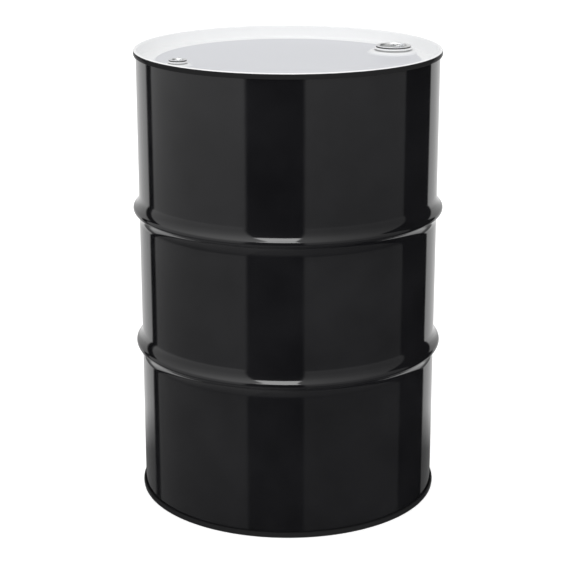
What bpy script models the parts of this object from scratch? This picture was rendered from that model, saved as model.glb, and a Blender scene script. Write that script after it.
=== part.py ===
"""A tight-head steel drum of about 208 litres, built from its separate pieces.

The drum stands on z = 0 with its axis on +Z. The pouring closure lies towards +X and the vent
closure towards -X, both on the line y = 0. All lengths are in metres.
"""

import math

import bmesh
import bpy

MM = 0.001

# Driving dimensions
HEIGHT = 876 * MM
INSIDE_RADIUS = 285.75 * MM
SHEET = 1.2 * MM
GAP = 0.3 * MM
ROUND_SEGMENTS = 48

# Rolling hoops, pressed outwards from the body
HOOP_HEIGHTS = (304.3 * MM, 571.7 * MM)
HOOP_PROUD = 11.55 * MM
HOOP_CROWN = 7 * MM
HOOP_FILLET = 31 * MM

# Double seams that join the heads to the body
CHIME_HEIGHT = 11 * MM
HOOK_LENGTH = 4.5 * MM

# Heads: a flat panel, set below the rim, with a lower ring around it
PANEL_DEPTH = 22 * MM
PANEL_RADIUS = 250 * MM
RING_DROP = 3 * MM
RING_RADIUS = 256 * MM
WALL_FILLET = 5 * MM

# The top head starts as a blank that is thick under its panel, and is then hollowed
BLANK_RADIUS = 276 * MM
BLANK_DEPTH = 9 * MM

# Closures, with every height measured from the top of the head's panel
CLOSURE_RADIUS = 217 * MM

LARGE = {
    "name": "large",
    "x": CLOSURE_RADIUS,
    "segments": 32,
    "boss_radius": 50 * MM,
    "seat_radius": 43.5 * MM,
    "seat_height": 4.8 * MM,
    "collar_radius": 35.0 * MM,
    "lip_radius": 35.6 * MM,
    "lip_height": 10.6 * MM,
    "base_across": 76 * MM,
    "base_bottom": -1.0 * MM,
    "base_top": 2.0 * MM,
    "bore_radius": 29.8 * MM,
    "gasket_radius": 32.9 * MM,
    "gasket_height": 1.5 * MM,
    "rim_radius": 34.0 * MM,
    "rim_height": 1.2 * MM,
    "plug_radius": 29.3 * MM,
    "plug_bottom": -0.6 * MM,
    "recess_radius": 26.4 * MM,
    "recess_floor": 1.6 * MM,
    "lug_size": (5 * MM, 8 * MM, 7 * MM),
}

SMALL = {
    "name": "small",
    "x": -CLOSURE_RADIUS,
    "segments": 24,
    "boss_radius": 27 * MM,
    "seat_radius": 22.3 * MM,
    "seat_height": 3.6 * MM,
    "collar_radius": 17.0 * MM,
    "lip_radius": 17.5 * MM,
    "lip_height": 8.3 * MM,
    "base_across": 40 * MM,
    "base_bottom": -1.2 * MM,
    "base_top": 1.0 * MM,
    "bore_radius": 13.5 * MM,
    "gasket_radius": 16.0 * MM,
    "gasket_height": 1.3 * MM,
    "rim_radius": 16.6 * MM,
    "rim_height": 1.0 * MM,
    "plug_radius": 13.0 * MM,
    "plug_bottom": -0.6 * MM,
    "recess_radius": 10.4 * MM,
    "recess_floor": 2.0 * MM,
    "lug_size": (2.4 * MM, 3.2 * MM, 4 * MM),
}

# Places worked out from the driving dimensions
OUTSIDE_RADIUS = INSIDE_RADIUS + SHEET
LAYER = SHEET + GAP
WALL_RADIUS = INSIDE_RADIUS - LAYER
SEAM_BEND = (5 * SHEET + 4 * GAP) / 2
SEAM_RADIUS = WALL_RADIUS + SEAM_BEND
CURL_BEND = (3 * SHEET + 2 * GAP) / 2
CURL_RADIUS = WALL_RADIUS + 2 * LAYER + CURL_BEND
PANEL_TOP = HEIGHT - PANEL_DEPTH


def clear_scene():
    for obj in list(bpy.data.objects):
        bpy.data.objects.remove(obj, do_unlink=True)


def material(name, colour, roughness, metallic):
    made = bpy.data.materials.new(name)
    made.use_nodes = True
    shader = made.node_tree.nodes["Principled BSDF"]
    shader.inputs["Base Color"].default_value = (*colour, 1)
    shader.inputs["Roughness"].default_value = roughness
    shader.inputs["Metallic"].default_value = metallic
    made.diffuse_color = (*colour, 1)
    return made


def bend(centre, radius, start, end, facets=4):
    """Points (radius, height) of a faceted bend, whose facets touch the arc. Angles are in degrees."""
    step = math.radians(end - start) / facets
    reach = radius / math.cos(step / 2)
    angles = [math.radians(start) + step * (i + 0.5) for i in range(facets)]
    return [(centre[0] + reach * math.cos(a), centre[1] + reach * math.sin(a)) for a in angles]


def turned(name, profile, segments, ring=False, place=(0, 0, 0), phase=0.0):
    """A solid turned about +Z from (radius, height) points.

    A ring's profile closes on itself. Any other profile is closed by a flat cap at each end.
    """
    shape = bmesh.new()
    angles = [2 * math.pi * (i + phase) / segments for i in range(segments)]
    loops = [
        [shape.verts.new((r * math.cos(a), r * math.sin(a), z)) for a in angles]
        for r, z in profile
    ]
    pairs = list(zip(loops, loops[1:]))
    if ring:
        pairs.append((loops[-1], loops[0]))
    for upper, lower in pairs:
        for i in range(segments):
            j = (i + 1) % segments
            shape.faces.new((upper[i], upper[j], lower[j], lower[i]))
    if not ring:
        shape.faces.new(loops[0])
        shape.faces.new(loops[-1])
    return placed(name, shape, place)


def block(name, size, place, turn=0.0):
    """A box whose inner face stands at its place and which reaches along its own +X."""
    shape = bmesh.new()
    bmesh.ops.create_cube(shape, size=1)
    for vertex in shape.verts:
        vertex.co.x = (vertex.co.x + 0.5) * size[0]
        vertex.co.y *= size[1]
        vertex.co.z = (vertex.co.z + 0.5) * size[2]
    made = placed(name, shape, place)
    made.rotation_euler.z = turn
    return made


def placed(name, shape, place):
    bmesh.ops.recalc_face_normals(shape, faces=shape.faces)
    mesh = bpy.data.meshes.new(name)
    shape.to_mesh(mesh)
    shape.free()
    mesh.shade_smooth()
    mesh.set_sharp_from_angle(angle=math.radians(40))
    made = bpy.data.objects.new(name, mesh)
    made.location = place
    bpy.context.scene.collection.objects.link(made)
    return made


def combine(target, helper, operation):
    """Joins a hidden helper to the target, or cuts it away."""
    helper.hide_render = True
    helper.display_type = "WIRE"
    modifier = target.modifiers.new(helper.name, "BOOLEAN")
    modifier.operation = operation
    modifier.solver = "EXACT"
    modifier.object = helper


def hoop(middle, radius_change):
    """One side of a rolling hoop, from top to bottom. radius_change offsets it from the outer face."""
    reach = HOOP_CROWN + HOOP_FILLET
    angle = math.degrees(math.acos(1 - HOOP_PROUD / reach))
    half = reach * math.sin(math.radians(angle))
    crown = (OUTSIDE_RADIUS + HOOP_PROUD - HOOP_CROWN, middle)
    upper = (OUTSIDE_RADIUS + HOOP_FILLET, middle + half)
    lower = (OUTSIDE_RADIUS + HOOP_FILLET, middle - half)
    fillet = HOOP_FILLET - radius_change
    points = bend(upper, fillet, 180, 180 + angle)
    points += bend(crown, HOOP_CROWN + radius_change, angle, -angle)
    points += bend(lower, fillet, 180 - angle, 180)
    return points


def flipped(points):
    """The same points turned upside down, for the lower end of the drum."""
    return [(r, HEIGHT - z) for r, z in reversed(points)]


def body_hook():
    """The body's end, rolled outwards into the seam: from its inner face over to its outer face."""
    centre = (SEAM_RADIUS, HEIGHT - SEAM_BEND)
    inner = WALL_RADIUS + 3 * LAYER
    end = centre[1] - HOOK_LENGTH
    points = bend(centre, SEAM_BEND - LAYER, 180, 0)
    points += [(inner + SHEET, end), (inner, end)]
    points += bend(centre, SEAM_BEND - LAYER - SHEET, 0, 180)
    return points


def body_shell(paint):
    outer = [point for z in reversed(HOOP_HEIGHTS) for point in hoop(z, 0)]
    inner = [point for z in HOOP_HEIGHTS for point in reversed(hoop(z, -SHEET))]
    profile = body_hook() + outer + flipped(body_hook()) + inner
    shell = turned("body_shell", profile, ROUND_SEGMENTS, ring=True)
    shell.data.materials.append(paint)


def head_outside():
    """The top of a head, from its panel's edge out over the seam to the end of its hook."""
    low = PANEL_TOP - RING_DROP
    fillet = (WALL_RADIUS - WALL_FILLET, low + WALL_FILLET)
    seam = (SEAM_RADIUS, HEIGHT - SEAM_BEND)
    curl = (CURL_RADIUS, HEIGHT - CHIME_HEIGHT + CURL_BEND)
    hook = WALL_RADIUS + 2 * LAYER
    end = curl[1] + HOOK_LENGTH
    points = [(PANEL_RADIUS, PANEL_TOP), (RING_RADIUS, low)]
    points += bend(fillet, WALL_FILLET, -90, 0, facets=2)
    points += bend(seam, SEAM_BEND, 180, 0)
    points += bend(curl, CURL_BEND, 0, -180)
    points += [(hook, end), (hook + SHEET, end)]
    return points


def head_inside():
    """The underside of a head, from its hook back to the foot of its wall."""
    fillet = (WALL_RADIUS - WALL_FILLET, PANEL_TOP - RING_DROP + WALL_FILLET)
    seam = (SEAM_RADIUS, HEIGHT - SEAM_BEND)
    curl = (CURL_RADIUS, HEIGHT - CHIME_HEIGHT + CURL_BEND)
    points = bend(curl, CURL_BEND - SHEET, -180, 0)
    points += bend(seam, SEAM_BEND - SHEET, 0, 180)
    points += bend(fillet, WALL_FILLET + SHEET, 0, -90, facets=2)
    return points


def bottom_head(paint):
    underside = [(RING_RADIUS, PANEL_TOP - RING_DROP - SHEET), (PANEL_RADIUS, PANEL_TOP - SHEET)]
    profile = head_outside() + head_inside() + underside
    head = turned("bottom_head", flipped(profile), ROUND_SEGMENTS)
    head.data.materials.append(paint)


def top_head(paint):
    """The top head: a thick blank joined to both bosses, then hollowed to sheet thickness."""
    low = PANEL_TOP - RING_DROP - SHEET
    floor = PANEL_TOP - BLANK_DEPTH
    thick = [(BLANK_RADIUS, low), (BLANK_RADIUS, floor)]
    head = turned("top_head", head_outside() + head_inside() + thick, ROUND_SEGMENTS)
    head.data.materials.append(paint)
    for closure in (LARGE, SMALL):
        combine(head, boss_outside(closure), "UNION")
    hollow = [
        (PANEL_RADIUS, PANEL_TOP - SHEET),
        (RING_RADIUS, low),
        (BLANK_RADIUS + MM, low - 0.05 * MM),
        (BLANK_RADIUS + MM, floor - MM),
    ]
    combine(head, turned("head_hollow", hollow, ROUND_SEGMENTS), "DIFFERENCE")
    for closure in (LARGE, SMALL):
        combine(head, boss_inside(closure), "DIFFERENCE")


def boss_slope(closure):
    """How far the boss's side runs outwards for each metre down."""
    return (closure["boss_radius"] - closure["seat_radius"]) / closure["seat_height"]


def boss_outside(closure):
    """The outer face of the raised boss, its collar and the lip rolled over the flange's neck."""
    collar = closure["collar_radius"]
    lip = closure["lip_radius"]
    seat = closure["seat_height"]
    top = closure["lip_height"]
    foot = -RING_DROP - SHEET / 2
    profile = [
        (lip - 0.8 * MM, top),
        (lip, top - 0.6 * MM),
        (lip, top - 1.7 * MM),
        (collar, top - 2.3 * MM),
        (collar, seat + 1.2 * MM),
        (collar + 1.6 * MM, seat + 0.5 * MM),
        (closure["seat_radius"], seat),
        (closure["boss_radius"] - foot * boss_slope(closure), foot),
    ]
    place = (closure["x"], 0, PANEL_TOP)
    return turned(closure["name"] + "_boss_outside", profile, closure["segments"], place=place)


def boss_inside(closure):
    """The space under the boss and through the collar, one sheet's thickness inside it."""
    slope = boss_slope(closure)
    wall = closure["collar_radius"] - SHEET
    seat = closure["seat_height"] - SHEET / 2
    top = closure["lip_height"]
    side = closure["boss_radius"] - SHEET * math.hypot(1, slope)
    floor = -BLANK_DEPTH - 2 * MM
    profile = [
        (wall - SHEET, top + MM),
        (wall - SHEET, top - 0.9 * MM),
        (wall, top - 0.9 * MM - SHEET),
        (wall, seat),
        (side - seat * slope, seat),
        (side - floor * slope, floor),
    ]
    place = (closure["x"], 0, PANEL_TOP)
    return turned(closure["name"] + "_boss_inside", profile, closure["segments"], place=place)


def seam_compound(name, paint, lower=False):
    """The sealing bead inside a seam, below the end of the body's hook."""
    inner = WALL_RADIUS + 3 * LAYER
    foot = HEIGHT - CHIME_HEIGHT + SHEET + GAP + 0.35 * MM
    top = HEIGHT - SEAM_BEND - HOOK_LENGTH - GAP
    profile = [(inner, top), (inner + SHEET, top), (inner + SHEET, foot), (inner, foot)]
    if lower:
        profile = flipped(profile)
    bead = turned(name, profile, ROUND_SEGMENTS, ring=True)
    bead.data.materials.append(paint)


def threaded_flange(closure, metal):
    """The steel flange under the head: an eight-sided base, and the neck that takes the plug."""
    name = closure["name"]
    place = (closure["x"], 0, PANEL_TOP)
    neck = closure["collar_radius"] - SHEET - GAP
    top = closure["lip_height"]
    bottom = closure["base_bottom"]
    corner = closure["base_across"] / 2 / math.cos(math.pi / 8)
    base = [(corner, closure["base_top"]), (corner, bottom)]
    flange = turned(name + "_flange", base, 8, place=place, phase=0.5)
    profile = [
        (neck - SHEET, top - 0.2 * MM),
        (neck - SHEET, top - 0.9 * MM - GAP),
        (neck, top - 0.9 * MM - SHEET - GAP),
        (neck, bottom - 0.6 * MM),
    ]
    combine(flange, turned(name + "_neck", profile, closure["segments"], place=place), "UNION")
    bore = [(closure["bore_radius"], top + MM), (closure["bore_radius"], bottom - 2 * MM)]
    combine(flange, turned(name + "_bore", bore, closure["segments"], place=place), "DIFFERENCE")
    flange.data.materials.append(metal)


def flat_ring(name, closure, radii, heights, rubber):
    """A flat gasket on a closure's axis."""
    inner, outer = radii
    low, high = heights
    profile = [(inner, high), (outer, high), (outer, low), (inner, low)]
    place = (closure["x"], 0, PANEL_TOP)
    ring = turned(name, profile, closure["segments"], ring=True, place=place)
    ring.data.materials.append(rubber)


def flange_gasket(closure, rubber):
    inner = closure["collar_radius"] - SHEET + 0.1 * MM
    outer = closure["base_across"] / 2 - MM
    low = closure["base_top"] + GAP
    high = closure["seat_height"] - SHEET / 2 - GAP
    flat_ring(closure["name"] + "_flange_gasket", closure, (inner, outer), (low, high), rubber)


def plug_gasket(closure, rubber):
    inner = closure["plug_radius"] + 0.4 * MM
    low = closure["lip_height"] + GAP
    high = low + closure["gasket_height"]
    radii = (inner, closure["gasket_radius"])
    flat_ring(closure["name"] + "_plug_gasket", closure, radii, (low, high), rubber)


def threaded_plug(closure, metal):
    """A cup-shaped plug with a rim, and four lugs inside it for the drum key."""
    name = closure["name"]
    place = (closure["x"], 0, PANEL_TOP)
    rim = closure["rim_radius"]
    thread = closure["plug_radius"]
    recess = closure["recess_radius"]
    seat = closure["lip_height"] + closure["gasket_height"] + 2 * GAP
    top = seat + closure["rim_height"]
    bottom = closure["plug_bottom"]
    floor = closure["recess_floor"]
    profile = [
        (recess - 0.6 * MM, floor),
        (recess, top - 0.9 * MM),
        (recess + 0.9 * MM, top),
        (rim - 0.3 * MM, top),
        (rim, top - 0.3 * MM),
        (rim, seat),
        (thread, seat),
        (thread, bottom + MM),
        (thread - MM, bottom),
    ]
    plug = turned(name + "_plug", profile, closure["segments"], place=place)
    depth, width, height = closure["lug_size"]
    overlap = MM
    for i in range(4):
        turn = math.pi / 4 + i * math.pi / 2
        reach = recess - depth
        spot = (
            closure["x"] + reach * math.cos(turn),
            reach * math.sin(turn),
            PANEL_TOP + floor - overlap,
        )
        size = (depth + overlap, width, height + overlap)
        combine(plug, block(f"{name}_lug_{i + 1}", size, spot, turn), "UNION")
    plug.data.materials.append(metal)


def main():
    clear_scene()
    black = material("black_enamel", (0.006, 0.006, 0.007), 0.12, 0.0)
    white = material("white_enamel", (0.82, 0.83, 0.86), 0.25, 0.0)
    zinc = material("zinc_plate", (0.62, 0.62, 0.64), 0.32, 1.0)
    rubber = material("black_rubber", (0.02, 0.02, 0.02), 0.6, 0.0)
    sealant = material("sealing_compound", (0.35, 0.30, 0.22), 0.7, 0.0)
    body_shell(black)
    top_head(white)
    bottom_head(black)
    seam_compound("top_seam_compound", sealant)
    seam_compound("bottom_seam_compound", sealant, lower=True)
    for closure in (LARGE, SMALL):
        threaded_flange(closure, zinc)
        flange_gasket(closure, rubber)
        plug_gasket(closure, rubber)
        threaded_plug(closure, zinc)


main()
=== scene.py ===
"""The looks of a 208 litre steel drum: fine geometry, enamel, zinc, rubber and a soft studio.

The drum stands on z = 0 with its axis on +Z. The pouring closure lies towards +X and the vent
closure towards -X. Lengths are in metres, and angles are in degrees unless a name says otherwise.
"""

import math

import bpy
import numpy as np
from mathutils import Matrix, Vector
from mathutils.geometry import delaunay_2d_cdt


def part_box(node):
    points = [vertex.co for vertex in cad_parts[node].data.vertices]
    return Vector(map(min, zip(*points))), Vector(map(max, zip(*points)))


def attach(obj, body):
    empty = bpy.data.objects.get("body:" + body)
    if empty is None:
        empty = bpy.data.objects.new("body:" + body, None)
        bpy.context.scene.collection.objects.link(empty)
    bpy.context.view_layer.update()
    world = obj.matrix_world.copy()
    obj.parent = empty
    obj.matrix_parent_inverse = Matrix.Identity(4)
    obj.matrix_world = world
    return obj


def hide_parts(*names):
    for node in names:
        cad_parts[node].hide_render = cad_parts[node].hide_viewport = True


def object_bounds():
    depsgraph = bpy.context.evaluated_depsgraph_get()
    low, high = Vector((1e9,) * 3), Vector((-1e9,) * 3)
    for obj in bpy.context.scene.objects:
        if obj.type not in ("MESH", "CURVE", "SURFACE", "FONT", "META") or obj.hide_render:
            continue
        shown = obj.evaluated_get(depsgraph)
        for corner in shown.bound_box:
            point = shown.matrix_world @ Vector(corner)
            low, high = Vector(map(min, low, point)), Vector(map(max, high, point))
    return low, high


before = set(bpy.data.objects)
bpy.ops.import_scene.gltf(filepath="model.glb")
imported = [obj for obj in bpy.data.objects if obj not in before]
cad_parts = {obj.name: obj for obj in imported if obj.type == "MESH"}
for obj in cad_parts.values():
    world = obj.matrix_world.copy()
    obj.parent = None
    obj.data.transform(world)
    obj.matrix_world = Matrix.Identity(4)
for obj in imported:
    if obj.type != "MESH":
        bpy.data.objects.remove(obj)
cad_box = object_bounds()

MM = 0.001

# Sheet metal of the drum, as in the CAD
HEIGHT = cad_box[1].z
SHEET = 1.2 * MM
GAP = 0.3 * MM
LAYER = SHEET + GAP
INSIDE_RADIUS = 285.75 * MM
OUTSIDE_RADIUS = INSIDE_RADIUS + SHEET
WALL_RADIUS = INSIDE_RADIUS - LAYER
HOOP_HEIGHTS = (304.3 * MM, 571.7 * MM)
HOOP_PROUD = cad_box[1].x - OUTSIDE_RADIUS
HOOP_CROWN = 7 * MM
HOOP_FILLET = 31 * MM
CHIME_HEIGHT = 11 * MM
HOOK_LENGTH = 4.5 * MM
SEAM_BEND = (5 * SHEET + 4 * GAP) / 2
SEAM_RADIUS = WALL_RADIUS + SEAM_BEND
CURL_BEND = (3 * SHEET + 2 * GAP) / 2
CHIME_BULGE = 0.35 * MM
CURL_RADIUS = WALL_RADIUS + 2 * LAYER + CURL_BEND
PANEL_DEPTH = 22 * MM
PANEL_TOP = HEIGHT - PANEL_DEPTH
PANEL_RADIUS = 250 * MM
RING_DROP = 3 * MM
WALL_FILLET = 5 * MM
FILLET_RADIUS = WALL_RADIUS - WALL_FILLET

# The body's welded seam runs up the side that faces the camera
WELD_ANGLE = -111.5
WELD_WIDTH = 2.4 * MM
WELD_HEIGHT = 0.14 * MM
BODY_WAVE = 0.05 * MM
PANEL_WAVE = 0.08 * MM

# The black enamel's gloss on the body, and on the chimes, where handling has dulled it
GLOSS_IOR = 1.5
CHIME_IOR = 1.05

# How far the white enamel reaches down the outside of the top chime
WHITE_DROP = 1.5 * MM

# Colours, in pairs where a finish has lighter patches
BLACK = ((0.0045, 0.0045, 0.0052, 1), (0.008, 0.008, 0.009, 1))
CHIME_BLACK = (0.014, 0.014, 0.0145, 1)
PANEL_WHITE = ((0.62, 0.63, 0.665, 1), (0.655, 0.665, 0.695, 1))
# A lighter white for the formed parts: partly the enamel's own tone, partly painted light on faces
# turned to the front
LIT_FORMED_WHITE = (0.885, 0.89, 0.895, 1)
# Grey for a painted shadow in the crease under each closure's lip
PAINTED_SHADOW_GREY = (0.16, 0.16, 0.16, 1)
ZINC = ((0.72, 0.735, 0.76, 1), (0.84, 0.84, 0.83, 1))
RUBBER = ((0.012, 0.012, 0.012, 1), (0.035, 0.035, 0.034, 1))
SEALANT = ((0.30, 0.25, 0.17, 1), (0.42, 0.36, 0.27, 1))
FLOOR_WHITE = ((0.80, 0.80, 0.80, 1), (0.82, 0.82, 0.82, 1))

# Closures: radii, and heights measured from the top of the head's panel. boss_run is how far the
# side of the boss runs outwards for each unit that it drops.
LARGE = {
    "name": "large",
    "boss_radius": 50 * MM,
    "boss_run": 1.354,
    "seat_height": 4.8 * MM,
    "collar_radius": 35.0 * MM,
    "lip_radius": 36.6 * MM,
    "lip_height": 10.6 * MM,
    "lip_drop": 3.1 * MM,
    "neck_radius": 33.5 * MM,
    "base_across": 76 * MM,
    "base_thickness": 3.0 * MM,
    "thread_radius": 29.05 * MM,
    "thread_depth": 1.3 * MM,
    "pitch": 2.309 * MM,
    "recess_radius": 26.3 * MM,
    "recess_floor": 1.6 * MM,
    "lug_depth": 5.2 * MM,
    "lug_height": 7.4 * MM,
    "lug_half_angle": 9.8,
    "ring_segments": 112,
}
SMALL = {
    "name": "small",
    "boss_radius": 27 * MM,
    "boss_run": 1.306,
    "seat_height": 3.6 * MM,
    "collar_radius": 17.0 * MM,
    "lip_radius": 18.3 * MM,
    "lip_height": 8.3 * MM,
    "lip_drop": 2.6 * MM,
    "neck_radius": 15.5 * MM,
    "base_across": 40 * MM,
    "base_thickness": 2.2 * MM,
    "thread_radius": 12.85 * MM,
    "thread_depth": 1.0 * MM,
    "pitch": 1.814 * MM,
    "recess_radius": 10.4 * MM,
    "recess_floor": 2.0 * MM,
    "lug_depth": 2.4 * MM,
    "lug_height": 4.2 * MM,
    "lug_half_angle": 10.5,
    "ring_segments": 80,
}
THREAD_CLEARANCE = 0.25 * MM
COLLAR_FILLET = 1.6 * MM

# The plain, finely divided ground round each boss
BOSS_GROUND = 8 * MM

# How many steps each turned piece takes round its axis
DRUM_STEPS = 288
BEAD_STEPS = 192
FLANGE_STEPS = 160
PLUG_STEPS = 144
RING_STEPS = 128


# Paths and turned shapes


def arc(centre, radius, start, end, steps=10):
    """Points (radius, height) of an arc, with both its ends."""
    angles = np.radians(np.linspace(start, end, steps + 1))
    return [(centre[0] + radius * math.cos(a), centre[1] + radius * math.sin(a)) for a in angles]


def run(start, end, steps):
    """Points between two ends, without the ends themselves."""
    shares = [i / steps for i in range(1, steps)]
    return [tuple(a + (b - a) * t for a, b in zip(start, end)) for t in shares]


def rounded(corners, closed=False, turn=15):
    """A path through (radius, height, fillet) corners, each rounded by its own fillet."""
    path = []
    for i, (x, z, fillet) in enumerate(corners):
        is_end = not closed and i in (0, len(corners) - 1)
        if is_end or fillet == 0:
            path.append((x, z))
            continue
        here = Vector((x, z))
        before = (Vector(corners[i - 1][:2]) - here).normalized()
        after = (Vector(corners[(i + 1) % len(corners)][:2]) - here).normalized()
        opening = before.angle(after)
        bend = math.pi - opening
        if bend < 0.02:
            path.append((x, z))
            continue
        middle = here + (before + after).normalized() * (fillet / math.sin(opening / 2))
        first = here + before * (fillet / math.tan(opening / 2)) - middle
        last = here + after * (fillet / math.tan(opening / 2)) - middle
        steps = max(2, math.ceil(math.degrees(bend) / turn))
        for k in range(steps + 1):
            share = k / steps
            weight_a = math.sin((1 - share) * bend) / math.sin(bend)
            weight_b = math.sin(share * bend) / math.sin(bend)
            path.append(tuple(middle + first * weight_a + last * weight_b))
    return path


def around(count, extra=()):
    """Angles in radians round a full turn, with extra ones in degrees where finer detail is needed."""
    even = [360 * i / count for i in range(count)]
    wanted = sorted(set(round(a % 360, 4) for a in (*even, *extra)))
    return np.radians([a for a, b in zip(wanted, [-1, *wanted]) if a - b > 0.05])


def turned_points(profile, angles):
    """An array of shape (rows, angles, 3) for a profile turned about +Z."""
    rows = np.array(profile)
    radius = rows[:, :1]
    height = np.repeat(rows[:, 1:], len(angles), axis=1)
    return np.stack([radius * np.cos(angles), radius * np.sin(angles), height], axis=-1)


def strip_faces(first, second):
    """Quads between two rings of vertex numbers of the same length."""
    count = len(first)
    return [
        (first[i], first[(i + 1) % count], second[(i + 1) % count], second[i])
        for i in range(count)
    ]


def fan_faces(ring, middle):
    """Triangles between a ring of vertex numbers and one vertex at its middle."""
    count = len(ring)
    return [(ring[i], ring[(i + 1) % count], middle) for i in range(count)]


def facing(vertices, faces):
    """A number that is negative when a closed shape's triangles and quads face inwards."""
    halves = [face[:3] for face in faces] + [(face[0], *face[2:]) for face in faces if len(face) == 4]
    a, b, c = vertices[np.array(halves)].transpose(1, 0, 2)
    return float(np.sum(a * np.cross(b, c)))


def piece_from(name, vertices, faces, place=(0, 0, 0)):
    """A smooth mesh object whose faces point outwards."""
    vertices = np.asarray(vertices)
    centred = vertices - vertices.mean(axis=0)
    if facing(centred, faces) < 0:
        faces = [tuple(reversed(face)) for face in faces]
    mesh = bpy.data.meshes.new(name)
    mesh.from_pydata(vertices.tolist(), [], faces)
    mesh.validate()
    mesh.shade_smooth()
    made = bpy.data.objects.new(name, mesh)
    made.location = place
    bpy.context.scene.collection.objects.link(made)
    return made


def turned(name, points, ring=False, place=(0, 0, 0)):
    """A closed piece from rows of points. A ring closes on itself; other shapes end on the axis."""
    rows, columns = points.shape[:2]
    numbers = np.arange(rows * columns).reshape(rows, columns).tolist()
    vertices = points.reshape(-1, 3)
    faces = []
    for upper, lower in zip(numbers, numbers[1:]):
        faces += strip_faces(upper, lower)
    if ring:
        faces += strip_faces(numbers[-1], numbers[0])
    else:
        poles = [(0, 0, points[0, 0, 2]), (0, 0, points[-1, 0, 2])]
        vertices = np.vstack([vertices, poles])
        faces += fan_faces(numbers[0][::-1], rows * columns)
        faces += fan_faces(numbers[-1], rows * columns + 1)
    return piece_from(name, vertices, faces, place)


def upside_down(profile):
    """The same path at the drum's lower end."""
    return [(r, HEIGHT - z) for r, z in reversed(profile)]


# Materials


class Nodes:
    """Short calls that add and link shader nodes."""

    def __init__(self, tree):
        self.tree = tree
        self.tree.nodes.clear()

    def add(self, kind, inputs=None, **settings):
        node = self.tree.nodes.new(kind)
        for name, value in settings.items():
            setattr(node, name, value)
        for name, value in (inputs or {}).items():
            self.put(node.inputs[name], value)
        return node

    def put(self, socket, value):
        if isinstance(value, bpy.types.NodeSocket):
            self.tree.links.new(value, socket)
        else:
            socket.default_value = value

    def math(self, operation, *values, clamp=False):
        node = self.add("ShaderNodeMath", operation=operation, use_clamp=clamp)
        for socket, value in zip(node.inputs, values):
            self.put(socket, value)
        return node.outputs[0]

    def noise(self, position, scale, detail=2.0, rough=0.5):
        inputs = {"Vector": position, "Scale": scale, "Detail": detail, "Roughness": rough}
        return self.add("ShaderNodeTexNoise", inputs).outputs["Fac"]

    def span(self, value, low, high, to_low, to_high):
        """Maps a value from one range to another, and holds it at the ends."""
        inputs = {"Value": value, 1: low, 2: high, 3: to_low, 4: to_high}
        return self.add("ShaderNodeMapRange", inputs).outputs[0]

    def blend(self, share, first, second):
        """A colour between two colours."""
        node = self.add("ShaderNodeMix", data_type="RGBA")
        self.put(node.inputs["Factor"], share)
        self.put(node.inputs[6], first)
        self.put(node.inputs[7], second)
        return node.outputs[2]

    def bump(self, height, distance, strength=1.0, normal=None):
        inputs = {"Height": height, "Distance": distance, "Strength": strength}
        if normal is not None:
            inputs["Normal"] = normal
        return self.add("ShaderNodeBump", inputs).outputs[0]


def new_material(name):
    made = bpy.data.materials.new(name)
    made.use_nodes = True
    return made, Nodes(made.node_tree)


def object_position(nodes):
    return nodes.add("ShaderNodeTexCoord").outputs["Object"]


def position_parts(nodes):
    """Object coordinates, with their X, Y and Z."""
    position = object_position(nodes)
    x, y, z = nodes.add("ShaderNodeSeparateXYZ", {"Vector": position}).outputs
    return position, x, y, z


def distance(nodes, x, y):
    """The distance from an upright axis that passes through x = 0, y = 0."""
    squares = [nodes.math("MULTIPLY", side, side) for side in (x, y)]
    return nodes.math("SQRT", nodes.math("ADD", *squares))


def scratches(nodes, position, scale, stretch, turn, low):
    """Fine lines in one direction: 1 on a line and 0 elsewhere."""
    mapping = nodes.add("ShaderNodeMapping", {"Vector": position, "Rotation": turn, "Scale": stretch})
    lines = nodes.noise(mapping.outputs[0], scale, 3.0, 0.6)
    return nodes.span(lines, low, low + 0.06, 0.0, 1.0)


def black_enamel_shader(nodes, position, z):
    """Gloss black enamel: fine orange peel, faint handling marks, rubbed hoops and dull chimes."""
    peel = nodes.noise(position, 420.0, 2.0, 0.5)
    broad = nodes.noise(position, 55.0, 2.0, 0.5)
    patches = nodes.noise(position, 9.0, 3.0, 0.55)
    marks = scratches(nodes, position, 160.0, (1.0, 1.0, 0.05), (0.5, 0.2, 0.3), 0.70)
    rub = 0.0
    for height in HOOP_HEIGHTS:
        away = nodes.math("ABSOLUTE", nodes.math("SUBTRACT", z, height))
        rub = nodes.math("ADD", rub, nodes.span(away, 1.5 * MM, 5 * MM, 1.0, 0.0))
    worn = nodes.math("MULTIPLY", rub, nodes.span(patches, 0.42, 0.62, 0.0, 1.0))
    rough = nodes.span(patches, 0.3, 0.7, 0.045, 0.085)
    rough = nodes.math("ADD", rough, nodes.math("MULTIPLY", marks, 0.05))
    rough = nodes.math("ADD", rough, nodes.math("MULTIPLY", worn, 0.06))
    shade = nodes.span(patches, 0.3, 0.7, 0, 1)
    colour = nodes.blend(shade, *BLACK)
    normal = nodes.bump(broad, 0.05 * MM, 0.5)
    normal = nodes.bump(peel, 0.012 * MM, 0.5, normal)
    from_middle = nodes.math("ABSOLUTE", nodes.math("SUBTRACT", z, HEIGHT / 2))
    chime = HEIGHT / 2 - CHIME_HEIGHT
    turns_dull = (chime - 0.5 * MM, chime)
    gloss = nodes.span(from_middle, *turns_dull, GLOSS_IOR, CHIME_IOR)
    dull = nodes.span(from_middle, *turns_dull, 0.0, 1.0)
    colour = nodes.blend(dull, colour, CHIME_BLACK)
    inputs = {"Base Color": colour, "Roughness": rough, "IOR": gloss, "Normal": normal}
    return nodes.add("ShaderNodeBsdfPrincipled", inputs).outputs[0]


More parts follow.
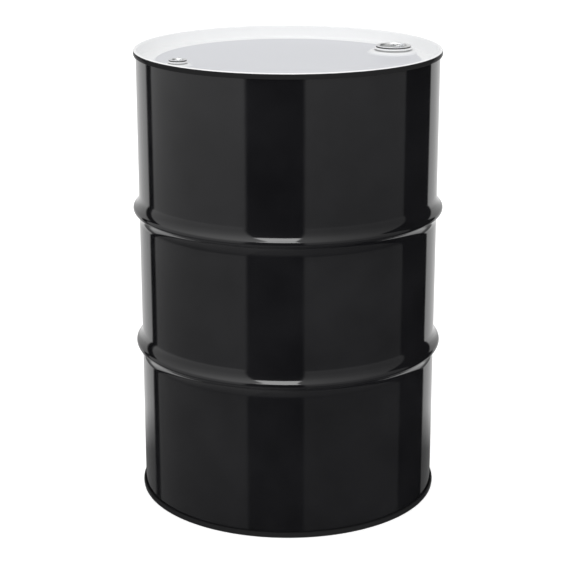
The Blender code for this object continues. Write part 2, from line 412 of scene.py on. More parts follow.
def white_enamel_shader(nodes, position, x, y, z):
    """White enamel, greyer over the flat panel than on its formed parts, whose lighter white is partly
    the enamel's own tone and partly painted light on faces turned to the front, with a painted shadow
    under each lip.
    """
    peel = nodes.noise(position, 300.0, 2.0, 0.5)
    broad = nodes.noise(position, 30.0, 3.0, 0.5)
    patches = nodes.noise(position, 6.0, 4.0, 0.6)
    wander = nodes.math("MULTIPLY", nodes.math("SUBTRACT", broad, 0.5), 0.8 * MM)
    edge = nodes.math("ADD", distance(nodes, x, y), wander)
    # The wall, ring, bosses and lips get the lighter white: partly the enamel's own tone, partly painted
    # light where faces turn to the front
    formed = nodes.span(edge, PANEL_RADIUS - 1 * MM, PANEL_RADIUS + 5 * MM, 0.0, 1.0)
    painted_shadow = 0.0
    for closure in (LARGE, SMALL):
        centre = closure_centre(closure)
        off_x = nodes.math("SUBTRACT", x, centre[0])
        off_y = nodes.math("SUBTRACT", y, centre[1])
        away = distance(nodes, off_x, off_y)
        boss = closure["boss_radius"]
        raised = nodes.span(nodes.math("ADD", away, wander), boss - 6 * MM, boss + 2 * MM, 0.85, 0.0)
        formed = nodes.math("MAXIMUM", formed, raised)
        lip = closure["lip_radius"]
        formed = nodes.math("MAXIMUM", formed, nodes.span(away, lip, lip + 0.5 * MM, 1.0, 0.0))
        # A painted shadow: the white is greyed in the crease under each rolled lip, down to the seat,
        # where shade falls
        under = PANEL_TOP + closure["lip_height"] - closure["lip_drop"]
        foot = PANEL_TOP + closure["seat_height"]
        ring = nodes.span(away, closure["collar_radius"] + 0.5 * MM, lip + 1.2 * MM, 1.0, 0.0)
        low = nodes.span(z, under - 0.1 * MM, under + 0.5 * MM, 1.0, 0.0)
        above = nodes.span(z, foot - 1 * MM, foot, 0, 1)
        shaded_crease = nodes.math("MULTIPLY", nodes.math("MULTIPLY", ring, low), above)
        painted_shadow = nodes.math("MAXIMUM", painted_shadow, shaded_crease)
    shade = nodes.span(patches, 0.3, 0.7, 0, 1)
    panel = nodes.blend(shade, *PANEL_WHITE)
    colour = nodes.blend(formed, panel, LIT_FORMED_WHITE)
    colour = nodes.blend(nodes.math("MULTIPLY", painted_shadow, 0.7), colour, PAINTED_SHADOW_GREY)
    rough = nodes.span(patches, 0.3, 0.7, 0.30, 0.42)
    normal = nodes.bump(broad, 0.03 * MM, 0.4)
    normal = nodes.bump(peel, 0.006 * MM, 0.5, normal)
    inputs = {"Base Color": colour, "Roughness": rough, "IOR": 1.45, "Normal": normal}
    return nodes.add("ShaderNodeBsdfPrincipled", inputs).outputs[0]


def black_enamel():
    """The enamel of the body and of the bottom head."""
    made, nodes = new_material("black_enamel_gloss")
    position, _, _, z = position_parts(nodes)
    shader = black_enamel_shader(nodes, position, z)
    nodes.add("ShaderNodeOutputMaterial", {"Surface": shader})
    return made


def two_tone_enamel():
    """White on the head, and black from the crest of the chime outwards, with a soft spray edge."""
    made, nodes = new_material("white_enamel_black_chime")
    position, x, y, z = position_parts(nodes)
    white = white_enamel_shader(nodes, position, x, y, z)
    black = black_enamel_shader(nodes, position, z)
    drift = nodes.math("SUBTRACT", nodes.noise(position, 70.0, 3.0), 0.5)
    wander = nodes.math("MULTIPLY", drift, 0.4 * MM)
    edge = HEIGHT - WHITE_DROP
    low = nodes.span(nodes.math("ADD", z, wander), edge - 0.08 * MM, edge + 0.08 * MM, 1.0, 0.0)
    outside = nodes.span(distance(nodes, x, y), SEAM_RADIUS, SEAM_RADIUS + 0.1 * MM, 0.0, 1.0)
    below = nodes.span(z, PANEL_TOP - 5 * MM, PANEL_TOP - 4.9 * MM, 1.0, 0.0)
    share = nodes.math("MAXIMUM", nodes.math("MULTIPLY", low, outside), below)
    mixed = nodes.add("ShaderNodeMixShader", {0: share, 1: white, 2: black})
    nodes.add("ShaderNodeOutputMaterial", {"Surface": mixed.outputs[0]})
    return made


def zinc_plate():
    """Bright zinc plate with fine turning lines, a faint blue cast and duller patches."""
    made, nodes = new_material("zinc_plate_turned")
    position, x, y, z = position_parts(nodes)
    section = nodes.add("ShaderNodeCombineXYZ", {"X": distance(nodes, x, y), "Y": 0.0, "Z": z})
    rings = nodes.noise(section.outputs[0], 1400.0, 3.0, 0.6)
    patches = nodes.noise(position, 60.0, 3.0, 0.6)
    grain = nodes.noise(position, 700.0, 2.0, 0.5)
    shade = nodes.span(patches, 0.35, 0.65, 0, 1)
    colour = nodes.blend(shade, *ZINC)
    rough = nodes.span(patches, 0.3, 0.7, 0.20, 0.34)
    rough = nodes.math("ADD", rough, nodes.math("MULTIPLY", grain, 0.08))
    normal = nodes.bump(rings, 0.02 * MM, 0.6)
    normal = nodes.bump(grain, 0.01 * MM, 0.4, normal)
    inputs = {"Base Color": colour, "Roughness": rough, "Metallic": 1.0, "Normal": normal}
    shader = nodes.add("ShaderNodeBsdfPrincipled", inputs).outputs[0]
    nodes.add("ShaderNodeOutputMaterial", {"Surface": shader})
    return made


def black_rubber():
    """Moulded rubber with a fine grain and a faint grey bloom."""
    made, nodes = new_material("black_rubber_moulded")
    position = object_position(nodes)
    grain = nodes.noise(position, 900.0, 3.0, 0.6)
    bloom = nodes.noise(position, 90.0, 3.0, 0.6)
    shade = nodes.span(bloom, 0.4, 0.75, 0, 1)
    colour = nodes.blend(shade, *RUBBER)
    rough = nodes.span(bloom, 0.3, 0.7, 0.5, 0.72)
    inputs = {"Base Color": colour, "Roughness": rough, "Normal": nodes.bump(grain, 0.03 * MM, 0.6)}
    shader = nodes.add("ShaderNodeBsdfPrincipled", inputs).outputs[0]
    nodes.add("ShaderNodeOutputMaterial", {"Surface": shader})
    return made


def sealing_compound():
    """Dried sealing compound: tan, dull and slightly lumpy."""
    made, nodes = new_material("sealing_compound_dried")
    position = object_position(nodes)
    lumps = nodes.noise(position, 500.0, 4.0, 0.6)
    colour = nodes.blend(lumps, *SEALANT)
    inputs = {"Base Color": colour, "Roughness": 0.65, "Normal": nodes.bump(lumps, 0.05 * MM, 0.7)}
    shader = nodes.add("ShaderNodeBsdfPrincipled", inputs).outputs[0]
    nodes.add("ShaderNodeOutputMaterial", {"Surface": shader})
    return made


# The body


def hoop(middle, radius_change, steps):
    """One side of a rolling hoop, from top to bottom. radius_change offsets it from the outer face."""
    reach = HOOP_CROWN + HOOP_FILLET
    angle = math.degrees(math.acos(1 - HOOP_PROUD / reach))
    half = reach * math.sin(math.radians(angle))
    crown = (OUTSIDE_RADIUS + HOOP_PROUD - HOOP_CROWN, middle)
    upper = (OUTSIDE_RADIUS + HOOP_FILLET, middle + half)
    lower = (OUTSIDE_RADIUS + HOOP_FILLET, middle - half)
    fillet = HOOP_FILLET - radius_change
    points = arc(upper, fillet, 180, 180 + angle, steps)
    points += arc(crown, HOOP_CROWN + radius_change, angle, -angle, steps * 4 // 5)[1:-1]
    points += arc(lower, fillet, 180 - angle, 180, steps)
    return points


def body_hook():
    """The body's end, rolled outwards into the seam: from its inner face over to its outer face."""
    centre = (SEAM_RADIUS, HEIGHT - SEAM_BEND)
    inner = WALL_RADIUS + 3 * LAYER
    end = centre[1] - HOOK_LENGTH
    edge = 0.25 * MM
    points = arc(centre, SEAM_BEND - LAYER, 180, 0, 14)
    outer = inner + SHEET
    tip = [(outer, centre[1], 0), (outer, end, edge), (inner, end, edge), (inner, centre[1], 0)]
    points += rounded(tip)[1:-1]
    points += arc(centre, SEAM_BEND - LAYER - SHEET, 0, 180, 10)
    return points


def body_wave(angles, heights):
    """How far the sheet strays from a true cylinder, and the ridge along its weld, short of the ends."""
    turn, up = angles[None, :], heights[:, None]
    wave = np.sin(3 * turn + 5 * up) * 0.5 + np.sin(7 * turn - 9 * up + 1.3) * 0.25
    wave = wave + np.sin(2 * turn + 23 * up + 0.4) * 0.25
    fade = np.clip(np.minimum(up, HEIGHT - up) / (40 * MM) - 0.5, 0, 1)
    off = (turn - math.radians(WELD_ANGLE) + math.pi) % (2 * math.pi) - math.pi
    ridge = WELD_HEIGHT * np.exp(-((off * OUTSIDE_RADIUS / WELD_WIDTH) ** 2))
    return BODY_WAVE * wave * fade, ridge * fade


def body_shell(paint):
    """The rolled sheet with its two hoops, its weld and a hook at each end."""
    levels = [HEIGHT - SEAM_BEND, *reversed(HOOP_HEIGHTS), SEAM_BEND]
    outside, inside = [], []
    for k, (high, low) in enumerate(zip(levels, levels[1:])):
        for side, change, steps in ((outside, 0.0, 20), (inside, -SHEET, 10)):
            radius = OUTSIDE_RADIUS + change
            top = side[-1] if side else (radius, high)
            bottom = hoop(low, change, steps)[0] if k < len(HOOP_HEIGHTS) else (radius, low)
            if k == 0:
                side.append((radius, high - 1 * MM))
            side += run(top, bottom, steps * 2 // 3)
            if k == len(HOOP_HEIGHTS):
                side.append((radius, low + 1 * MM))
            if k < len(HOOP_HEIGHTS):
                side += hoop(low, change, steps)
    hooks = body_hook()
    profile = hooks + outside + upside_down(hooks) + inside[::-1]
    angles = around(DRUM_STEPS, [WELD_ANGLE + 0.14 * k for k in range(-10, 11)])
    points = turned_points(profile, angles)
    heights = np.array([z for _, z in profile])
    wave, ridge = body_wave(angles, heights)
    first, last = len(hooks), len(hooks) + len(outside)
    second = last + len(hooks)
    shift = np.zeros_like(wave)
    shift[first:last] = wave[first:last] + ridge[first:last]
    shift[second:] = wave[second:] - ridge[second:]
    points[..., 0] += shift * np.cos(angles)
    points[..., 1] += shift * np.sin(angles)
    body = turned("drum_body", points, ring=True)
    body.data.materials.append(paint)
    return body


# The heads


def soft_max(a, b, width):
    """The larger of two heights, with a smooth joint where they are within width of each other."""
    return np.maximum(a, b) + np.maximum(width - np.abs(a - b), 0) ** 2 / (4 * width)


def soft_min(a, b, width):
    return -soft_max(-a, -b, width)


def closure_centre(closure):
    """The axis of a closure, from its plug in the CAD."""
    low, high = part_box(closure["name"] + "_plug")
    return (low.x + high.x) / 2, (low.y + high.y) / 2


def head_height(x, y):
    """The height of the head's upper face, out to the fillet at its wall."""
    across = np.hypot(x, y)
    height = soft_min(np.zeros_like(across), (PANEL_RADIUS - across) * 0.5, 1.2 * MM)
    height = soft_max(height, np.full_like(across, -RING_DROP), 1.2 * MM)
    # The panel's faint wave fades out towards its edge and round each boss
    freedom = np.clip((235 * MM - across) / (60 * MM), 0, 1)
    for closure in (LARGE, SMALL):
        centre = closure_centre(closure)
        away = np.hypot(x - centre[0], y - centre[1])
        freedom = freedom * np.clip((away - closure["boss_radius"] - BOSS_GROUND) / (40 * MM), 0, 1)
        slope = (closure["boss_radius"] - away) / closure["boss_run"]
        boss = soft_min(np.full_like(away, closure["seat_height"]), slope, 1.6 * MM)
        height = soft_max(height, boss, 2.0 * MM)
    wave = np.sin(19 * x + 4 * y) * np.cos(15 * y - 6 * x) + 0.5 * np.sin(33 * y + 8 * x + 1)
    return height + PANEL_WAVE * wave * freedom


def head_thickness(x, y):
    """The sheet's thickness measured straight down, which is larger where the face slopes."""
    step = 0.05 * MM
    along_x = (head_height(x + step, y) - head_height(x - step, y)) / (2 * step)
    along_y = (head_height(x, y + step) - head_height(x, y - step)) / (2 * step)
    return SHEET * np.sqrt(1 + along_x**2 + along_y**2)


def head_plan(angles):
    """Points in plan over the head, and the numbers of those on its rim and round each closure."""
    spots = [(FILLET_RADIUS * math.cos(a), FILLET_RADIUS * math.sin(a)) for a in angles]
    loops = [list(range(len(spots)))]
    zones = []
    for closure in (LARGE, SMALL):
        centre = closure_centre(closure)
        count = closure["ring_segments"]
        foot = closure["collar_radius"] + COLLAR_FILLET
        end = closure["boss_radius"] + BOSS_GROUND
        for k, radius in enumerate(np.arange(foot, end, 0.9 * MM)):
            if k == 0:
                loops.append(list(range(len(spots), len(spots) + count)))
            turn = 2 * math.pi * np.arange(count) / count
            spots += [(centre[0] + radius * math.cos(t), centre[1] + radius * math.sin(t)) for t in turn]
        zones.append((centre, end + 1.5 * MM))
    # Rows over the rest of the head, close together where the panel steps down to its ring
    radii = [*np.arange(274, 262, -4.0), *np.arange(260, 244, -0.8), *np.arange(238, 6, -8.0)]
    for radius in np.array(radii) * MM:
        count = min(len(angles), max(12, int(2 * math.pi * radius / (6 * MM))))
        if radius > 240 * MM:
            count = DRUM_STEPS
        for i in range(count):
            turn = 2 * math.pi * (i + 0.5) / count
            spot = (radius * math.cos(turn), radius * math.sin(turn))
            if all(math.dist(spot, centre) > end for centre, end in zones):
                spots.append(spot)
    return spots, loops


def collar_profile(closure):
    """From the foot of the collar up its outer face, over the rolled lip and down its inner face."""
    seat, top = closure["seat_height"], closure["lip_height"]
    collar, lip = closure["collar_radius"], closure["lip_radius"]
    under = top - closure["lip_drop"]
    foot = (collar + COLLAR_FILLET, seat + COLLAR_FILLET)
    inner = collar - SHEET
    curl = top - 0.9 * MM
    corners = [
        (collar, foot[1], 0),
        (collar, under, 0.25 * MM),
        (lip, under + 0.35 * MM, 0.6 * MM),
        (lip, top, 1.1 * MM),
        (inner - SHEET, top, 0.45 * MM),
        (inner - SHEET, curl, 0.15 * MM),
        (inner, curl - SHEET, 0.4 * MM),
        (inner, foot[1], 0),
    ]
    path = arc(foot, COLLAR_FILLET, 270, 180, 6)[1:-1]
    path += rounded(corners)
    path += arc(foot, COLLAR_FILLET + SHEET, 180, 270, 6)[1:-1]
    return path


def chime_profile():
    """From the head's fillet up the wall, over the seam, round its hook and back beneath."""
    fillet = (FILLET_RADIUS, PANEL_TOP - RING_DROP + WALL_FILLET)
    seam = (SEAM_RADIUS, HEIGHT - SEAM_BEND)
    curl = (CURL_RADIUS, HEIGHT - CHIME_HEIGHT + CURL_BEND)
    hook = WALL_RADIUS + 2 * LAYER
    end = curl[1] + HOOK_LENGTH
    edge = 0.25 * MM
    steps = 10
    tip = [(hook, curl[1], 0), (hook, end, edge), (hook + SHEET, end, edge), (hook + SHEET, curl[1], 0)]
    path = arc(fillet, WALL_FILLET, -90, 0, 10)[1:]
    path += run(path[-1], (WALL_RADIUS, seam[1]), 4)
    path += arc(seam, SEAM_BEND, 180, 0, 28)
    wall = run(path[-1], (CURL_RADIUS + CURL_BEND, curl[1]), steps)
    bulge = [CHIME_BULGE * math.sin(math.pi * k / steps) for k in range(1, steps)]
    path += [(r + out, z) for out, (r, z) in zip(bulge, wall)]
    path += arc(curl, CURL_BEND, 0, -180, 18)
    path += rounded(tip)[1:-1]
    path += arc(curl, CURL_BEND - SHEET, -180, 0, 12)
    path += arc(seam, SEAM_BEND - SHEET, 0, 180, 18)
    path += arc(fillet, WALL_FILLET + SHEET, 0, -90, 10)[:-1]
    return path


def top_head(paint):
    """The pressed head: a formed face with two bosses, joined to turned collars and the chime."""
    angles = around(DRUM_STEPS)
    spots, loops = head_plan(angles)
    edges = [(loop[i - 1], loop[i]) for loop in loops for i in range(len(loop))]
    plan, _, triangles, origins, _, _ = delaunay_2d_cdt([Vector(s) for s in spots], edges, [], 0, 1e-7)
    place_of = {old: new for new, olds in enumerate(origins) for old in olds}
    x, y = np.array(plan).T
    holes = [(closure_centre(c), c["collar_radius"] + COLLAR_FILLET) for c in (LARGE, SMALL)]
    kept = []
    for triangle in triangles:
        middle = (x[list(triangle)].mean(), y[list(triangle)].mean())
        if all(math.dist(middle, centre) > radius for centre, radius in holes):
            kept.append(tuple(triangle))
    upper = PANEL_TOP + head_height(x, y)
    lower = upper - head_thickness(x, y)
    count = len(x)
    vertices = [np.column_stack([x, y, upper]), np.column_stack([x, y, lower])]
    faces = kept + [tuple(n + count for n in reversed(t)) for t in kept]
    used = 2 * count
    turns = [((0, 0), chime_profile(), angles, 0.0)]
    for closure in (LARGE, SMALL):
        segments = closure["ring_segments"]
        turn = 2 * math.pi * np.arange(segments) / segments
        turns.append((closure_centre(closure), collar_profile(closure), turn, PANEL_TOP))
    for loop, (centre, profile, turn, base) in zip(loops, turns):
        points = turned_points(profile, turn) + np.array([*centre, base])
        rings = (np.arange(len(profile) * len(turn)).reshape(len(profile), -1) + used).tolist()
        rim = [place_of[n] for n in loop]
        rings = [rim, *rings, [n + count for n in rim]]
        is_chime = centre == (0, 0)
        for first, second in zip(rings, rings[1:]):
            strip = strip_faces(first, second)
            faces += [tuple(reversed(face)) for face in strip] if is_chime else strip
        vertices.append(points.reshape(-1, 3))
        used += points.shape[0] * points.shape[1]
    head = piece_from("drum_top_head", np.vstack(vertices), faces)
    head.data.materials.append(paint)
    return head


def bottom_head(paint):
    """The lower head, whose panel stands above the floor inside the chime."""
    low = PANEL_TOP - RING_DROP
    soft = 3 * MM
    outer = [
        (4 * MM, PANEL_TOP, 0),
        (PANEL_RADIUS, PANEL_TOP, soft),
        (PANEL_RADIUS + 2 * RING_DROP, low, soft),
        (FILLET_RADIUS, low, 0),
    ]
    inner = [(r, z - SHEET, f) for r, z, f in reversed(outer)]
    panel = [(r, PANEL_TOP) for r in np.arange(20, 240, 20.0) * MM]
    outside = rounded(outer)
    inside = rounded(inner)
    profile = outside[:1] + panel + outside[1:] + chime_profile() + inside[:-1]
    profile += [(r, z - SHEET) for r, z in reversed(panel)] + inside[-1:]
    head = turned("drum_bottom_head", turned_points(upside_down(profile), around(DRUM_STEPS)))
    head.data.materials.append(paint)
    return head


def seam_compound(name, paint, lower=False):
    """The sealing bead inside a seam, below the end of the body's hook."""
    inner = WALL_RADIUS + 3 * LAYER
    foot = HEIGHT - CHIME_HEIGHT + SHEET + GAP + 0.35 * MM
    top = HEIGHT - SEAM_BEND - HOOK_LENGTH - GAP
    soft = 0.3 * MM
    outer = inner + SHEET
    corners = [(inner, top, soft), (outer, top, soft), (outer, foot, soft), (inner, foot, soft)]
    profile = rounded(corners, closed=True, turn=30)
    if lower:
        profile = upside_down(profile)
    bead = turned(name, turned_points(profile, around(BEAD_STEPS)), ring=True)
    bead.data.materials.append(paint)
    return bead


# Closures


def ridge_of(phase):
    """A rounded thread form: 1 on the ridge and -1 in the groove."""
    wave = 1 - 4 * np.abs((phase % 1) - 0.5)
    return np.clip(wave * 1.25, -1, 1) * (1 - 0.12 * wave**2)


def cut_thread(points, rows, closure, angles, radius, low, high):
    """Turns the plain rows into a right-hand thread that fades out at both ends."""
    z = points[rows, :, 2]
    phase = z / closure["pitch"] - angles[None, :] / (2 * math.pi)
    fade = np.clip(np.minimum(z - low, high - z) / (0.8 * closure["pitch"]), 0, 1)
    new = radius + closure["thread_depth"] / 2 * ridge_of(phase) * fade
    points[rows, :, 0] = new * np.cos(angles)
    points[rows, :, 1] = new * np.sin(angles)


def thread_rows(radius, start, end, pitch):
    """Rows for a thread, about twelve to each pitch."""
    count = max(8, int(abs(end - start) / pitch * 12))
    return [(radius, start + (end - start) * i / count) for i in range(count + 1)]


def flange(closure, metal):
    """The eight-sided flange under the head, with blunt corners and a neck that is threaded inside."""
    name = closure["name"] + "_flange"
    low, high = (corner.z - PANEL_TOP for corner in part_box(name))
    neck = closure["neck_radius"]
    bore = closure["thread_radius"] + THREAD_CLEARANCE
    base_low = low + 0.6 * MM
    base_high = base_low + closure["base_thickness"]
    half = closure["base_across"] / 2
    outer = rounded([
        (bore + 0.6 * MM, high, 0),
        (neck - SHEET, high, 0.3 * MM),
        (neck - SHEET, high - 1.0 * MM, 0.1 * MM),
        (neck, high - 2.2 * MM, 0.4 * MM),
        (neck, base_high, 0.35 * MM),
        (neck + 0.8 * MM, base_high, 0),
    ])
    base = rounded([
        (half - 1.5 * MM, base_high, 0),
        (half, base_high, 0.5 * MM),
        (half, base_low, 0.5 * MM),
        (half - 1.5 * MM, base_low, 0),
    ])
    under = rounded([
        (neck + 0.8 * MM, base_low, 0),
        (neck, base_low, 0.3 * MM),
        (neck, low, 0.3 * MM),
        (bore + 0.6 * MM, low, 0),
    ])
    start, end = low + 1.0 * MM, high - 1.0 * MM
    wall = thread_rows(bore, start, end, closure["pitch"])
    profile = outer + base + under + wall
    angles = around(FLANGE_STEPS)
    points = turned_points(profile, angles)
    first = len(outer)
    eighth = math.pi / 4
    blunt = 0.36
    off = angles % eighth - eighth / 2
    corner = 1 / np.cos(np.clip(off, -blunt, blunt))
    points[first:first + len(base), :, :2] *= corner[:, None]
    rows = slice(len(profile) - len(wall), len(profile))
    cut_thread(points, rows, closure, angles, bore, start, end)
    made = turned(name + "_threaded", points, ring=True, place=(*closure_centre(closure), PANEL_TOP))
    made.data.materials.append(metal)
    return made


def flat_ring(name, closure, radii, heights, soft, rubber):
    """A flat rubber ring on a closure's axis, with soft edges."""
    inner, outer = radii
    low, high = heights
    corners = [(inner, high, soft), (outer, high, soft), (outer, low, soft), (inner, low, soft)]
    profile = rounded(corners, closed=True, turn=30)
    place = (*closure_centre(closure), PANEL_TOP)
    ring = turned(name, turned_points(profile, around(RING_STEPS)), ring=True, place=place)
    ring.data.materials.append(rubber)
    return ring


def flange_gasket(closure, rubber):
    """The ring between a flange's base and the head."""
    name = closure["name"] + "_flange_gasket"
    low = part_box(name)[0].z - PANEL_TOP
    high = closure["seat_height"] - SHEET - GAP
    radii = (closure["neck_radius"] + 0.4 * MM, closure["base_across"] / 2 - 1 * MM)
    return flat_ring(name + "_ring", closure, radii, (low, high), 0.2 * MM, rubber)


def plug_gasket(closure, rubber):
    """The ring under a plug's rim, a little larger than the CAD's so that it nearly fills its gap."""
    name = closure["name"] + "_plug_gasket"
    low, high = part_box(name)
    outer = (high.x - low.x) / 2
    radii = (closure["thread_radius"] + 0.8 * MM, outer + 0.7 * MM)
    heights = (low.z - PANEL_TOP - 0.2 * MM, high.z - PANEL_TOP + 0.2 * MM)
    return flat_ring(name + "_ring", closure, radii, heights, 0.45 * MM, rubber)


def lug_share(closure, angles):
    """1 where a lug stands and 0 between the lugs, with steep flanks."""
    degrees = np.degrees(angles)
    off = np.abs(degrees % 90 - 45)
    half = closure["lug_half_angle"]
    share = np.clip((half + 0.8 - off) / 1.6, 0, 1)
    return share * share * (3 - 2 * share)


def plug(closure, metal):
    """A cup-shaped plug: a rim over the gasket, a threaded skirt, and four lugs in its recess."""
    name = closure["name"] + "_plug"
    low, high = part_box(name)
    rim = (high.x - low.x) / 2
    top, bottom = high.z - PANEL_TOP, low.z - PANEL_TOP
    gasket_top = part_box(name + "_gasket")[1].z - PANEL_TOP
    seat = gasket_top + GAP
    recess, floor = closure["recess_radius"], closure["recess_floor"]
    depth = closure["lug_depth"]
    thread = closure["thread_radius"]
    root = thread - closure["thread_depth"] / 2
    lug_top = floor + closure["lug_height"]
    inner_floor = recess - depth - 2.2 * MM
    centre = rounded([
        (0.6 * MM, floor + 0.5 * MM, 0),
        (inner_floor * 0.55, floor + 0.5 * MM, 0.8 * MM),
        (inner_floor * 0.70, floor, 0.8 * MM),
        (inner_floor, floor, 0),
    ])
    foot = arc((recess - 0.9 * MM, floor + 0.9 * MM), 0.9 * MM, 270, 360, 5)
    side = run(foot[-1], (recess, lug_top - 0.6 * MM), 4)
    crown = [(recess, lug_top - drop * MM) for drop in (0.6, 0.25, 0.05, 0)]
    crown_share = [1.0, 0.97, 0.90, 0.80]
    mouth = rounded([
        (recess, lug_top + 0.05 * MM, 0),
        (recess, lug_top + 0.25 * MM, 0.1 * MM),
        (recess + 0.55 * MM, top - 2.9 * MM, 0.25 * MM),
        (recess - 0.15 * MM, top - 2.0 * MM, 0.3 * MM),
        (recess + 1.1 * MM, top, 0.5 * MM),
        (rim, top, 0.45 * MM),
        (rim, seat, 0.35 * MM),
        (thread + 0.3 * MM, seat, 0.2 * MM),
        (root, seat - 1.2 * MM, 0.2 * MM),
        (root, seat - 1.8 * MM, 0),
    ])
    start, end = seat - 2.0 * MM, bottom + 0.9 * MM
    skirt = thread_rows(thread, start, end, closure["pitch"])
    under = rounded([
        (root, bottom + 0.7 * MM, 0),
        (root - 0.7 * MM, bottom, 0.25 * MM),
        (recess * 0.8, bottom, 0.3 * MM),
        (recess * 0.74, bottom + 0.5 * MM, 0.3 * MM),
        (0.6 * MM, bottom + 0.5 * MM, 0),
    ])
    profile = centre + foot + side + crown + mouth + skirt + under
    share = np.zeros(len(profile))
    first = len(centre)
    share[first:first + len(foot) + len(side)] = 1.0
    last = first + len(foot) + len(side) + len(crown)
    share[last - len(crown):last] = crown_share
    reaches = [closure["lug_half_angle"] + d for d in (-1, -0.8, -0.4, 0, 0.4, 0.8, 1)]
    flanks = [45 + 90 * k + sign * reach for k in range(4) for sign in (-1, 1) for reach in reaches]
    angles = around(PLUG_STEPS, flanks)
    points = turned_points(profile, angles)
    inwards = depth * share[:, None] * lug_share(closure, angles)[None, :]
    points[..., 0] -= inwards * np.cos(angles)
    points[..., 1] -= inwards * np.sin(angles)
    begin = last + len(mouth)
    rows = slice(begin, begin + len(skirt))
    low, high = end - 0.3 * MM, start + 0.3 * MM
    cut_thread(points, rows, closure, angles, thread, low, high)
    made = turned(name + "_lugged", points, place=(*closure_centre(closure), PANEL_TOP))
    made.data.materials.append(metal)
    return made


# The camera and the studio

CAMERA_SIDE = -20.5
CAMERA_DISTANCE = 3.15
CAMERA_HEIGHT = 1.37
CAMERA_TILT = 17.1
CAMERA_LENS = 104.7


def camera():
    data = bpy.data.cameras.new("camera")
    data.lens = CAMERA_LENS
    data.sensor_width = 36
    data.clip_end = 50
    made = bpy.data.objects.new("camera", data)
    side = math.radians(CAMERA_SIDE)
    made.location = (CAMERA_DISTANCE * math.sin(side), -CAMERA_DISTANCE * math.cos(side), CAMERA_HEIGHT)
    made.rotation_euler = (math.radians(90 - CAMERA_TILT), 0, side)
    bpy.context.scene.collection.objects.link(made)
    bpy.context.scene.camera = made


# What stands round the drum in the studio: shares of panel, backdrop and gap by compass angle
STUDIO_ROUND = (
    (-180, 1.0, 0, 0),
    (-142.9, 1.0, 0, 0),
    (-141.3, 0, 0, 1.0),
    (-99.1, 0, 0, 1.0),
    (-97.5, 0.70, 0, 0),
    (-13.2, 0.41, 0, 0),
    (-11.6, 0.02, 0, 0),
    (23.8, 0.02, 0, 0),
    (25.4, 0, 1.4, 0),
    (69.5, 0, 1.25, 0),
    (115.7, 0, 1.4, 0),
    (117.3, 0.02, 0, 0),
    (124.8, 0.02, 0, 0),
    (126.4, 0.90, 0, 0),
    (180, 1.0, 0, 0),
)
# How bright the panels, the backdrop and the gap are, by elevation
STUDIO_UP = (
    (-90, 0.30, 0.60, 0.25),
    (-42, 0.30, 0.68, 0.22),
    (-29, 0.22, 0.60, 0.08),
    (-26, 0.19, 0.14, 0.05),
    (-22.3, 0.26, 0.14, 0.03),
    (-21.2, 0.28, 0.68, 0.01),
    (-18, 0.37, 0.68, 0.01),
    (-12, 0.63, 0.72, 0.01),
    (-9, 0.78, 0.75, 0.01),
    (-2, 0.71, 0.62, 0.01),
    (14, 0.73, 0.60, 0.02),
    (34, 1.00, 0.60, 0.05),
    (48.5, 1.43, 0.75, 0.15),
    (50.5, 1.48, 0.78, 7.2),
    (69, 1.85, 1.0, 7.2),
    (75, 1.20, 0.9, 4.0),
    (81, 0.70, 0.7, 0.7),
    (90, 0.60, 0.6, 0.6),
)
# What the colour ramps count as 1, above every value in the two tables
STUDIO_PEAK = 8.0
ROUND_PEAK = 2.0
# How strong the even light is from below and from above
SOFT_LEVELS = (0.89, 1.01)
# The floor lies just under the drum, and its own glow brings it up to plain white
FLOOR_RADIUS = 12.0
FLOOR_HEIGHT = -0.05 * MM
FLOOR_GLOW = 0.55


def band_ramp(nodes, factor, stops):
    """A colour ramp from (place, colour) stops, with places between 0 and 1."""
    node = nodes.add("ShaderNodeValToRGB", {"Fac": factor})
    ramp = node.color_ramp
    ramp.interpolation = "LINEAR"
    while len(ramp.elements) < len(stops):
        ramp.elements.new(0.5)
    for element, (place, colour) in zip(ramp.elements, stops):
        element.position = place
        element.color = (*colour, 1)
    return node.outputs["Color"]


def studio_world():
    """Soft white panels, a backdrop and dark gaps for the gloss, and even light for the rest."""
    world = bpy.data.worlds.new("studio")
    bpy.context.scene.world = world
    world.use_nodes = True
    nodes = Nodes(world.node_tree)
    way = nodes.add("ShaderNodeTexCoord").outputs["Generated"]
    x, y, z = nodes.add("ShaderNodeSeparateXYZ", {"Vector": way}).outputs
    compass = nodes.math("ARCTAN2", y, x)
    turn = nodes.math("ADD", nodes.math("MULTIPLY", compass, 1 / (2 * math.pi)), 0.5)
    rise = nodes.math("ADD", nodes.math("MULTIPLY", nodes.math("ARCSINE", z), 1 / math.pi), 0.5)
    stops = [((angle + 180) / 360, [v / ROUND_PEAK for v in shares]) for angle, *shares in STUDIO_ROUND]
    round_colour = band_ramp(nodes, turn, stops)
    heights = [((angle + 90) / 180, [v / STUDIO_PEAK for v in values]) for angle, *values in STUDIO_UP]
    up_colour = band_ramp(nodes, rise, heights)
    product = nodes.add("ShaderNodeVectorMath", {0: round_colour, 1: up_colour}, operation="DOT_PRODUCT")
    gloss = nodes.math("MULTIPLY", product.outputs["Value"], STUDIO_PEAK * ROUND_PEAK)
    soft = nodes.span(z, -0.3, 0.9, *SOFT_LEVELS)
    path = nodes.add("ShaderNodeLightPath").outputs
    strength = nodes.add("ShaderNodeMix", {0: path["Is Glossy Ray"], 2: soft, 3: gloss}).outputs[0]
    strength = nodes.add("ShaderNodeMix", {0: path["Is Camera Ray"], 2: strength, 3: 1.0}).outputs[0]
    background = nodes.add("ShaderNodeBackground", {"Color": (1, 1, 1, 1), "Strength": strength})
    nodes.add("ShaderNodeOutputWorld", {"Surface": background.outputs[0]})


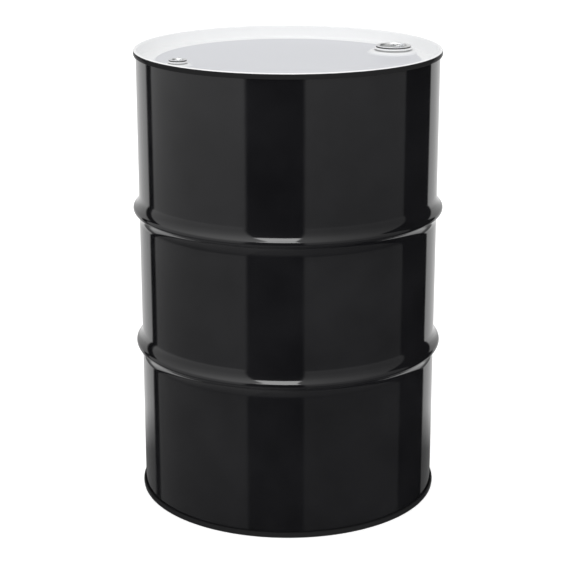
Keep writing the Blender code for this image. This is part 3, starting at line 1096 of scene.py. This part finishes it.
def floor():
    """A plain white floor that the drum's gloss doesn't mirror, and that is clear from below."""
    made, nodes = new_material("floor_white")
    grain = nodes.noise(object_position(nodes), 3.0)
    tint = nodes.blend(grain, *FLOOR_WHITE)
    matt = nodes.add("ShaderNodeBsdfDiffuse", {"Color": tint}).outputs[0]
    glow = nodes.add("ShaderNodeEmission", {"Color": (1, 1, 1, 1), "Strength": FLOOR_GLOW}).outputs[0]
    lit = nodes.add("ShaderNodeAddShader", {0: matt, 1: glow}).outputs[0]
    clear = nodes.add("ShaderNodeBsdfTransparent").outputs[0]
    below = nodes.add("ShaderNodeNewGeometry").outputs["Backfacing"]
    shown = nodes.add("ShaderNodeMixShader", {0: below, 1: lit, 2: clear}).outputs[0]
    nodes.add("ShaderNodeOutputMaterial", {"Surface": shown})
    rim = turned_points([(FLOOR_RADIUS, FLOOR_HEIGHT)], around(96))[0]
    mesh = bpy.data.meshes.new("floor")
    mesh.from_pydata(rim.tolist(), [], [tuple(range(len(rim)))])
    mesh.materials.append(made)
    plane = bpy.data.objects.new("floor", mesh)
    plane.visible_glossy = False
    bpy.context.scene.collection.objects.link(plane)


def soft_light(name, place, size, power):
    """A large soft box aimed at the middle of the drum, for the matt part of the light only."""
    data = bpy.data.lights.new(name, "AREA")
    data.shape = "DISK"
    data.size = size
    data.energy = power
    made = bpy.data.objects.new(name, data)
    made.location = place
    aim = Vector((0, 0, HEIGHT / 2)) - Vector(place)
    made.rotation_euler = aim.to_track_quat("-Z", "Y").to_euler()
    made.visible_glossy = False
    bpy.context.scene.collection.objects.link(made)


def rides(piece, body, slot, *nodes):
    """Puts a piece on its body, in place of the CAD's nodes. Its slot is not used."""
    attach(piece, body)
    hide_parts(*nodes)


def main():
    black, two_tone, zinc = black_enamel(), two_tone_enamel(), zinc_plate()
    rubber, sealant = black_rubber(), sealing_compound()
    rides(body_shell(black), "drum", "black_enamel", "body_shell")
    rides(top_head(two_tone), "drum", "white_enamel", "top_head")
    rides(bottom_head(black), "drum", "black_enamel", "bottom_head")
    for name, lower in (("top_seam_compound", False), ("bottom_seam_compound", True)):
        bead = seam_compound(name + "_bead", sealant, lower)
        rides(bead, "drum", "sealing_compound", name)
    for closure in (LARGE, SMALL):
        size = closure["name"]
        rides(flange(closure, zinc), "drum", "zinc_plate", size + "_flange")
        rides(flange_gasket(closure, rubber), "drum", "black_rubber", size + "_flange_gasket")
        rides(plug_gasket(closure, rubber), size + "_gasket", "black_rubber", size + "_plug_gasket")
        rides(plug(closure, zinc), size + "_plug", "zinc_plate", size + "_plug")
    camera()
    studio_world()
    floor()
    soft_light("front", place=(-1.3, -2.8, 1.7), size=1.6, power=20)
    bpy.context.scene.view_settings.view_transform = "Standard"


main()
